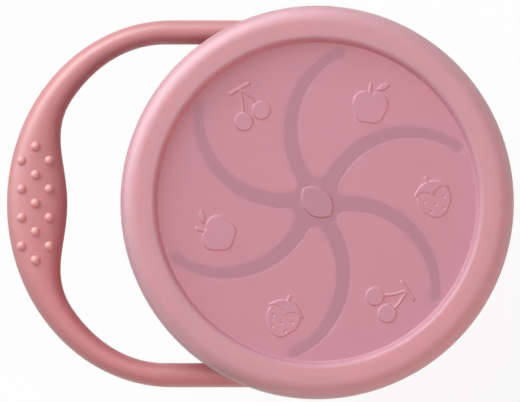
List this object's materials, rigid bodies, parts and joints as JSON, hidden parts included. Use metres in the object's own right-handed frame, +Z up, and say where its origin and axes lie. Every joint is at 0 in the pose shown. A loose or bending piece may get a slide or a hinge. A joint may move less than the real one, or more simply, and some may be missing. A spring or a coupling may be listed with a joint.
{
  "type": "toddler snack container",
  "caption": "Soft tapered snack cup with a loop handle, a lid of spiral flaps that a hand pushes through, and a see-through dust cover with fruit reliefs.",
  "frame": {"origin": "middle of the face that the cup stands on, on the cup's axis", "axes": "+Z up along the cup's axis; the handle's loop reaches out along -X"},
  "size_m": [0.1186, 0.092, 0.0828],
  "materials": {
    "cup": "matt silicone",
    "handle": "matt silicone",
    "flap_lid": "matt silicone",
    "dust_cover": "translucent matt silicone"
  },
  "bodies": {
    "cup_body": {"cup": "cup", "handle": "handle"},
    "lid": {"flap_lid": "flap_lid"},
    "cover": {"dust_cover": "dust_cover"},
    "flap_body_1": {"flap_1": "flap_lid"},
    "flap_body_2": {"flap_2": "flap_lid"},
    "flap_body_3": {"flap_3": "flap_lid"},
    "flap_body_4": {"flap_4": "flap_lid"},
    "flap_body_5": {"flap_5": "flap_lid"},
    "flap_body_6": {"flap_6": "flap_lid"}
  },
  "joints": [
    {"name": "lid_lift", "type": "slide", "parent": "cup_body", "child": "lid", "axis": [0, 0, 1], "range_m": [0, 0.04]},
    {"name": "cover_lift", "type": "slide", "parent": "lid", "child": "cover", "axis": [0, 0, 1], "range_m": [0, 0.03]},
    {"name": "flap_bend_1", "type": "hinge", "parent": "lid", "child": "flap_body_1", "pos_m": [0.01882, 0.02409, 0.0758], "axis": [0.788, -0.6157, 0], "range_deg": [0, 60], "stiffness_Nm_per_rad": 0.01},
    {"name": "flap_bend_2", "type": "hinge", "parent": "lid", "child": "flap_body_2", "pos_m": [-0.01145, 0.02834, 0.0758], "axis": [0.9272, 0.3746, 0], "range_deg": [0, 60], "stiffness_Nm_per_rad": 0.01},
    {"name": "flap_bend_3", "type": "hinge", "parent": "lid", "child": "flap_body_3", "pos_m": [-0.03027, 0.00425, 0.0758], "axis": [0.1392, 0.9903, 0], "range_deg": [0, 60], "stiffness_Nm_per_rad": 0.01},
    {"name": "flap_bend_4", "type": "hinge", "parent": "lid", "child": "flap_body_4", "pos_m": [-0.01882, -0.02409, 0.0758], "axis": [-0.788, 0.6157, 0], "range_deg": [0, 60], "stiffness_Nm_per_rad": 0.01},
    {"name": "flap_bend_5", "type": "hinge", "parent": "lid", "child": "flap_body_5", "pos_m": [0.01145, -0.02834, 0.0758], "axis": [-0.9272, -0.3746, 0], "range_deg": [0, 60], "stiffness_Nm_per_rad": 0.01},
    {"name": "flap_bend_6", "type": "hinge", "parent": "lid", "child": "flap_body_6", "pos_m": [0.03027, -0.00425, 0.0758], "axis": [-0.1392, -0.9903, 0], "range_deg": [0, 60], "stiffness_Nm_per_rad": 0.01}
  ]
}
